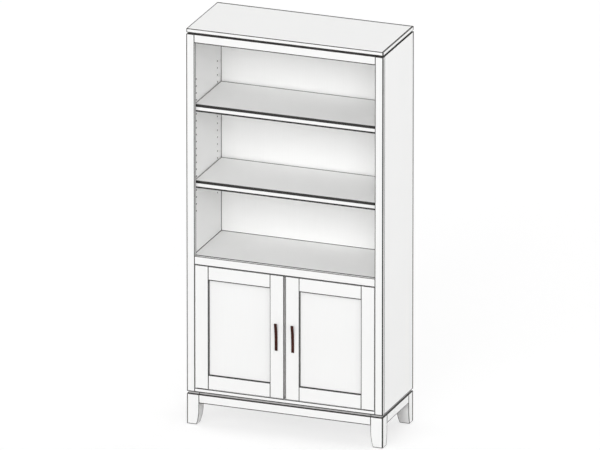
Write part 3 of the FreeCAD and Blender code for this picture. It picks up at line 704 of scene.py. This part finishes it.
# Painted shade: a dark line in the inside corners of the bays and the cabinet.
for low, high in rooms:
    corner = corner_shade_line(side_paint, (Y, frame_back, back_front), (Z, low, high))
    lay_dark_glaze_and_shade(side_paint, corner, on_plane(side_paint, X, inner_face, thick_skin))
in_hole = both(
    side_paint,
    between(side_paint, X, inner_face + skin, inner_face + hole_depth + skin),
    between(side_paint, Y, frame_back + clear_of_holes, back_front - clear_of_holes),
)
lay_over(side_paint, in_hole, hole_brown)
lay_dark_glaze_and_shade(side_paint, on_plane(side_paint, X, outer_face),
           between(side_paint, Y, frame_back, frame_back + seam))
for node in ("left_side_panel", "right_side_panel"):
    eased(node, side_paint, width=0.0010)

# ---------------------------------------------------------------- fixed boards
# The bottom, the fixed shelf and the top panel of the case, tongued at their ends and glued into
# the side panels' housings.
board_paint = white_paint("fixed_board_paint", X)
# Painted shade: a dark line in the inside corners where the boards meet the side and back panels.
corner = corner_shade_line(board_paint, (X, -inner_face, inner_face), (Y, frame_back, back_front))
lay_dark_glaze_and_shade(board_paint, corner)
behind_frame = 0.0055
lay_dark_glaze_and_shade(board_paint, between(board_paint, Y, frame_back - skin, frame_back + behind_frame))
for node in ("bottom_panel", "fixed_shelf", "case_top_panel"):
    eased(node, board_paint)

# ---------------------------------------------------------------- face frame
# Two stiles and three rails of maple, stub-tenoned together and glued flush to the front of the
# case. The two lower rails are level with the boards behind them. Glaze is left along the inner
# edges of the stiles and the upper and lower edges of the rails.
stile_paint = white_paint("stile_paint", Z)
glazed_corners(stile_paint)
stile_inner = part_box("right_stile")[0][X]
on_return, on_front = 0.0085, 0.0034
lay_dark_glaze_and_shade(stile_paint, on_plane(stile_paint, X, stile_inner, thick_skin),
           between(stile_paint, Y, frame_back - on_return, frame_back))
lay_dark_glaze_and_shade(stile_paint, on_plane(stile_paint, Y, front_face),
           between(stile_paint, X, stile_inner, stile_inner + on_front))
lay_dark_glaze_and_shade(stile_paint, on_plane(stile_paint, X, outer_face),
           between(stile_paint, Y, frame_back - seam, frame_back))
case_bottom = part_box("left_stile")[0][Z]
for finish in (stile_paint, side_paint):
    glazed_foot(finish, case_bottom)
for node in ("left_stile", "right_stile"):
    eased(node, stile_paint, width=0.0016)
top_at_front, top_at_back, under_doors, past_top = 0.0060, 0.0040, 0.0036, 0.0001
for low, high in ((front_face, front_face + top_at_front), (frame_back - top_at_back, frame_back + skin)):
    lay_dark_glaze_and_shade(rail_paint, on_plane(rail_paint, Z, bay_floor), between(rail_paint, Y, low, high))
lay_dark_glaze_and_shade(rail_paint, on_plane(rail_paint, Y, front_face),
           between(rail_paint, Z, cabinet_floor - under_doors, cabinet_floor + past_top))
for node in ("top_rail", "middle_rail", "bottom_rail"):
    glazed_foot(rail_paint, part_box(node)[0][Z])
    eased(node, rail_paint, width=0.0008)

# ---------------------------------------------------------------- back panel
# One sheet of quarter-inch panel that slides up into grooves in the side panels, with a dark line
# painted as shade in the corners where it meets them and the fixed boards.
back_paint = white_paint("back_panel_paint", Z)
back_skin = 0.001
# Painted shade: a dark line in the inside corners of the back panel.
for low, high in rooms:
    corner = corner_shade_line(back_paint, (X, -inner_face, inner_face), (Z, low, high))
    lay_dark_glaze_and_shade(back_paint, corner, on_plane(back_paint, Y, back_front, back_skin))
eased("back_panel", back_paint, width=0.0008)

# ---------------------------------------------------------------- panel pins
# Seven flat-headed steel pins hold the back panel to the back edge of the fixed shelf.
pin_shank, pin_head, pin_length, pin_point = 0.0008, 0.0018, 0.022, 0.002
head_height, head_cone, head_rim = 0.0006, 0.0002, 0.0003
bpy.ops.object.select_all(action="DESELECT")
bpy.ops.mesh.primitive_cylinder_add(vertices=16, radius=pin_shank, depth=pin_length,
                                    location=(0, 0, -pin_length / 2 - head_height))
panel_pin = bpy.context.object
bpy.ops.object.transform_apply(location=True, rotation=True, scale=True)
pick(panel_pin, lambda middle, normal: normal.z < -0.9)
bpy.ops.mesh.extrude_region_move(TRANSFORM_OT_translate={"value": (0, 0, -pin_point)})
bpy.ops.transform.resize(value=(0.1, 0.1, 1))
pick(panel_pin, lambda middle, normal: normal.z > 0.9)
bpy.ops.mesh.extrude_region_move(TRANSFORM_OT_translate={"value": (0, 0, head_cone)})
bpy.ops.transform.resize(value=(pin_head / pin_shank, pin_head / pin_shank, 1))
bpy.ops.mesh.extrude_region_move(TRANSFORM_OT_translate={"value": (0, 0, head_rim)})
bpy.ops.mesh.inset(thickness=0.0004, depth=head_height - head_cone - head_rim)
bpy.ops.object.mode_set(mode="OBJECT")
panel_pin.data.materials.append(zinc)
bpy.ops.object.shade_smooth_by_angle(angle=math.radians(35))
back_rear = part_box("back_panel")[1][Y]
pin_height = (cabinet_ceiling + bay_floor) / 2
first_pin, pin_spacing, pin_proud = -0.39, 0.13, 0.0003
places = [
    ((first_pin + i * pin_spacing, back_rear + pin_proud, pin_height), (0, 1, 0), 0)
    for i in range(7)
]
set_out(panel_pin, "back_panel_pins", places, "case")
bpy.data.objects.remove(panel_pin)

# ---------------------------------------------------------------- nailers
# A maple nailer across the top and one across the bottom, behind the back panel. The case is
# fixed to the wall through the upper one.
for node in ("top_nailer", "bottom_nailer"):
    eased(node, cross_paint)

# ---------------------------------------------------------------- top
# A spacer set in from the case on all sides leaves the shadow line, which is painted shade: spacer
# and ledge round it are painted as dark as the glaze. Six screws come up through it into the top board.
# Painted shade: the spacer is finished in the dark glaze.
eased("top_spacer", edge_glaze_and_reveal_shade, width=0.0004)
spacer_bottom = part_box("top_spacer")[0][Z]
# Painted shade: the ledge round the spacer, under the top's overhang, is painted dark.
for finish in (stile_paint, rail_paint, side_paint, board_paint):
    lay_dark_glaze_and_shade(finish, on_plane(finish, Z, spacer_bottom))
top_paint = white_paint("top_board_paint", X)
top_low, top_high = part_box("top_board")
end_band, back_band = 0.0065, 0.0140
for axis, low, high in ((X, outer_face - end_band, outer_face), (Y, back_face - back_band, back_face)):
    lay_dark_glaze_and_shade(top_paint, on_plane(top_paint, Z, top_high[Z], thick_skin),
               between(top_paint, axis, low, high))
glazed_corners(top_paint)
glazed_foot(top_paint, top_low[Z])
eased("top_board", top_paint, width=0.0030)
top_screw_x, top_screw_y = (-0.3556, 0, 0.3556), (-0.107093, 0.121507)
places = []
for x in top_screw_x:
    for y in top_screw_y:
        places.append(((x, y, bay_ceiling - proud), (0, 0, -1), len(places) * turn_step))
top_screw = screw(length=0.0379, shank=0.0024, head=0.0048, cone=0.0022, rim=0.0003, crown=proud,
                  finish=zinc)
top_screws = set_out(top_screw, "top_board_screws", places, "case")
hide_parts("top_screws")
bpy.data.objects.remove(top_screw)

# ---------------------------------------------------------------- shelf pins
# Twelve pins of nickel-plated steel: a shank in the hole, a plate against the panel and a flat
# pad with a rib under it, on which the shelf rests.
nickel_light, nickel_dark = (0.68, 0.67, 0.64), (0.56, 0.55, 0.52)
nickel = metal("nickel_plate", nickel_light, nickel_dark, smooth=0.20, dull=0.34)
eased("shelf_pins", nickel, width=0.0001, edge=nickel)

# ---------------------------------------------------------------- loose shelves
# Each is a painted board on four pins with a deeper maple nosing glued to its front. The nosing's
# corners are rounded, the upper one under a small step. Glaze is left on its top, on both rounds
# and beside them. A dark band along the board's ends and back edge is painted shade, where the
# board meets the side and back panels.
shelf_paint = white_paint("shelf_board_paint", X)
shelf_low, shelf_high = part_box("upper_shelf_board")
wider, before_front, shade_band_width = shelf_high[X] + 0.003, shelf_low[Y] - 0.02, 0.009
# Painted shade: a dark band along the shelf's ends and back edge, where it meets the panels.
shelf_shade_band = corner_shade_line(shelf_paint, (X, -wider, wider), (Y, before_front, shelf_high[Y]), shade_band_width)
lay_dark_glaze_and_shade(shelf_paint, shelf_shade_band)
past_edge, low_band, high_band = 0.0010, 0.0085, 0.0090
for shelf in ("upper_shelf", "lower_shelf"):
    eased(shelf + "_board", shelf_paint, width=0.0008)
    nosing = shelf + "_nosing"
    nosing_paint = white_paint(nosing + "_paint", X)
    nosing_low, nosing_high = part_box(nosing)
    for low, high in ((nosing_low[Z] - past_edge, nosing_low[Z] + low_band),
                      (nosing_high[Z] - high_band, nosing_high[Z] + past_edge)):
        lay_dark_glaze_and_shade(nosing_paint, between(nosing_paint, Z, low, high))
    eased(nosing, nosing_paint, width=0.0004)

# ---------------------------------------------------------------- cabinet shelf
# A plain painted board on four pins inside the cabinet, short of the doors.
eased("cabinet_shelf_board", cross_paint)

# ---------------------------------------------------------------- catches
# Under the middle of the fixed shelf a painted block carries two catches: a white moulded housing
# each, held by two small screws, with a ferrite magnet that floats in its mouth.
eased("catch_block", cross_paint, width=0.0010, edge=cross_paint)
housing_light, housing_dark = (0.88, 0.88, 0.86), (0.80, 0.80, 0.78)
housing_plastic = moulded("catch_housing_plastic", housing_light, housing_dark, smooth=0.38, dull=0.52)
for node in ("left_catch", "right_catch"):
    eased(node, housing_plastic, width=0.0002, edge=housing_plastic)
ferrite_light, ferrite_dark = (0.10, 0.10, 0.105), (0.055, 0.055, 0.06)
ferrite = moulded("ferrite", ferrite_light, ferrite_dark, smooth=0.55, dull=0.75)
eased("catch_magnets", ferrite, width=0.0003, edge=ferrite)
from_end, behind_middle = 0.0042, 0.0015
places = []
for node in ("left_catch", "right_catch"):
    low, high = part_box(node)
    for x in (low[X] + from_end, high[X] - from_end):
        spot = (x, (low[Y] + high[Y]) / 2 + behind_middle, low[Z] - proud)
        places.append((spot, (0, 0, -1), len(places) * turn_step))
small_screw = screw(length=0.022, shank=0.0013, head=0.0026, cone=0.0012, rim=0.0002, crown=proud,
                    finish=zinc)
set_out(small_screw, "catch_screws", places, "case")
bpy.data.objects.remove(small_screw)

# ---------------------------------------------------------------- hinges, on the case
# Knife hinges of brass, darkened to match the pulls. The leaf with the pin is let into the rail
# over or under the door, and two small screws hold it.
brass_light, brass_dark = (0.115, 0.078, 0.058), (0.070, 0.046, 0.034)
brass_worn, brass_less_worn = (0.20, 0.135, 0.085), (0.10, 0.066, 0.046)
dark_brass = metal("darkened_brass", brass_light, brass_dark, smooth=0.30, dull=0.46)
rubbed_brass = metal("rubbed_brass", brass_worn, brass_less_worn, smooth=0.26, dull=0.40)
eased("case_hinge_leaves", dark_brass, width=0.0001, edge=rubbed_brass)
leaf_half_width, leaf_crown = 0.0045, 0.0004
leaf_screw = screw(length=0.013, shank=0.0014, head=0.0027, cone=0.0013, rim=0.0001, crown=leaf_crown,
                   finish=dark_brass)
leaf_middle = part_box("case_hinge_leaves")[0][Y] + leaf_half_width
leaf_screw_x = (0.3902, 0.3752)
case_leaf_low, case_leaf_high = 0.17165, 0.74275
places = []
for side in (-1, 1):
    for x in leaf_screw_x:
        for height, facing in ((case_leaf_low + leaf_crown, 1), (case_leaf_high - leaf_crown, -1)):
            places.append(((side * x, leaf_middle, height), (0, 0, facing), len(places) * turn_step))
set_out(leaf_screw, "case_hinge_screws", places, "case")

# ---------------------------------------------------------------- doors
# Each is a maple frame, stub-tenoned and glued, around a flat panel that floats in its grooves.
# The left door carries the strip that closes the gap between the two; the strip is painted grey as
# the gap's shade. The panel's edge, the frame's returns to it and the meeting edge in the gap are
# painted dark as shade, and dark glaze is left along the frame's edges.
door_paint = white_paint("door_panel_paint", Z)
# Painted shade: the meeting strip is painted grey, for the shade in the gap between the doors.
gap_shade_pale, gap_shade_deep = (0.36, 0.355, 0.35), (0.29, 0.286, 0.28)
strip_painted_gap_shade = white_paint("strip_painted_gap_shade", Z, gap_shade_pale, gap_shade_deep)
gap_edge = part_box("right_door_meeting_stile")[0][X]
panel_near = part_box("right_door_meeting_stile")[1][X]
panel_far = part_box("right_door_hinge_stile")[0][X]
panel_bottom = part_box("right_door_bottom_rail")[1][Z]
panel_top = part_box("right_door_top_rail")[0][Z]
panel_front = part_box("left_door_panel")[0][Y]
panel_line = 0.0038
# Painted shade: a dark line on the panel just inside the frame's opening.
lay_dark_glaze_and_shade(door_paint, corner_shade_line(door_paint, (X, panel_near, panel_far), (Z, panel_bottom, panel_top),
                                     panel_line))
return_deep, gap_deep, ledge_deep = 0.0065, 0.0035, 0.0078
# Painted shade: dark on the frame's returns to the panel and on the meeting stile's edge in the gap.
for edge, deep in ((panel_near, return_deep), (panel_far, return_deep), (gap_edge, gap_deep)):
    lay_dark_glaze_and_shade(upright_paint, on_plane(upright_paint, X, edge),
               between(upright_paint, Y, front_face, front_face + deep))
gap_line, near_line, far_line = 0.0018, 0.0026, 0.0030
for low, high in ((gap_edge, gap_edge + gap_line), (panel_near - near_line, panel_near),
                  (panel_far, panel_far + far_line)):
    lay_dark_glaze_and_shade(upright_paint, on_plane(upright_paint, Y, front_face), between(upright_paint, X, low, high))
for side in ("left", "right"):
    eased(side + "_door_hinge_stile", upright_paint, width=0.0006)
    eased(side + "_door_meeting_stile", upright_paint, width=0.0013)
    for part in ("top_rail", "bottom_rail"):
        eased(side + "_door_" + part, rail_paint, width=0.0013)
    eased(side + "_door_panel", door_paint, width=0.0008)
# Painted shade on the rails' returns round the panel, with a glaze line up the top rail's front.
glazed_foot(rail_paint, panel_top)
lay_dark_glaze_and_shade(rail_paint, on_plane(rail_paint, Z, panel_bottom),
           between(rail_paint, Y, panel_front - ledge_deep, panel_front + skin))
eased("meeting_strip", strip_painted_gap_shade)

# ---------------------------------------------------------------- hinges, on the doors
# The other leaf of each hinge, let into the door's top or bottom edge, turns on the pin. Two
# small screws hold it too.
leaves_low, leaves_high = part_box("left_door_leaves")
for side, name in ((-1, "left"), (1, "right")):
    eased(name + "_door_leaves", dark_brass, width=0.0001, edge=rubbed_brass)
    places = []
    for x in leaf_screw_x:
        for height, facing in ((leaves_low[Z] - leaf_crown, -1), (leaves_high[Z] + leaf_crown, 1)):
            places.append(((side * x, leaf_middle, height), (0, 0, facing), len(places) * turn_step))
    set_out(leaf_screw, name + "_hinge_screws", places, name + "_door")
bpy.data.objects.remove(leaf_screw)

# ---------------------------------------------------------------- strike plates
# A small steel plate with two screws on the back of each door, which the catch's magnet holds.
steel_light, steel_dark = (0.60, 0.60, 0.61), (0.46, 0.46, 0.47)
plate_steel = metal("strike_plate_steel", steel_light, steel_dark, smooth=0.28, dull=0.44)
plate_crown, plate_screw_inset = 0.00022, 0.006
plate_screw = screw(length=0.012, shank=0.0012, head=0.0024, cone=0.0011, rim=0.0001, crown=plate_crown,
                    finish=plate_steel)
for name in ("left", "right"):
    eased(name + "_strike_plate", plate_steel, width=0.0003, edge=plate_steel)
    low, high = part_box(name + "_strike_plate")
    height = (low[Z] + high[Z]) / 2
    places = [
        ((x, high[Y] + plate_crown, height), (0, 1, 0), i * turn_step)
        for i, x in enumerate((low[X] + plate_screw_inset, high[X] - plate_screw_inset))
    ]
    set_out(plate_screw, name + "_strike_screws", places, name + "_door")
bpy.data.objects.remove(plate_screw)

# ---------------------------------------------------------------- pulls
# A strip of bronze, finished dark red-brown, that leaves the door in a long curve. Two posts under
# it take the screws that come through from the back of the door.
bronze_light, bronze_dark = (0.058, 0.021, 0.017), (0.044, 0.016, 0.013)
bronze_worn, bronze_less_worn = (0.085, 0.036, 0.027), (0.052, 0.020, 0.016)
bronze = metal("dark_bronze", bronze_light, bronze_dark, smooth=0.34, dull=0.50)
rubbed_bronze = metal("rubbed_bronze", bronze_worn, bronze_less_worn, smooth=0.30, dull=0.42)
pan_screw = screw(length=0.0235, shank=0.002, head=0.004, cone=0.0, rim=0.0009, crown=0.0011, finish=zinc)
screw_inset = 0.00414
turn_per_metre = 100
for name in ("left", "right"):
    eased(name + "_pull", bronze, width=0.0002, edge=rubbed_bronze)
    low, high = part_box(name + "_pull_screws")
    x = (low[X] + high[X]) / 2
    places = [
        ((x, high[Y], low[Z] + up), (0, 1, 0), up * turn_per_metre)
        for up in (screw_inset, high[Z] - low[Z] - screw_inset)
    ]
    screws = set_out(pan_screw, name + "_pan_screws", places, name + "_door")
    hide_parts(name + "_pull_screws")
bpy.data.objects.remove(pan_screw)
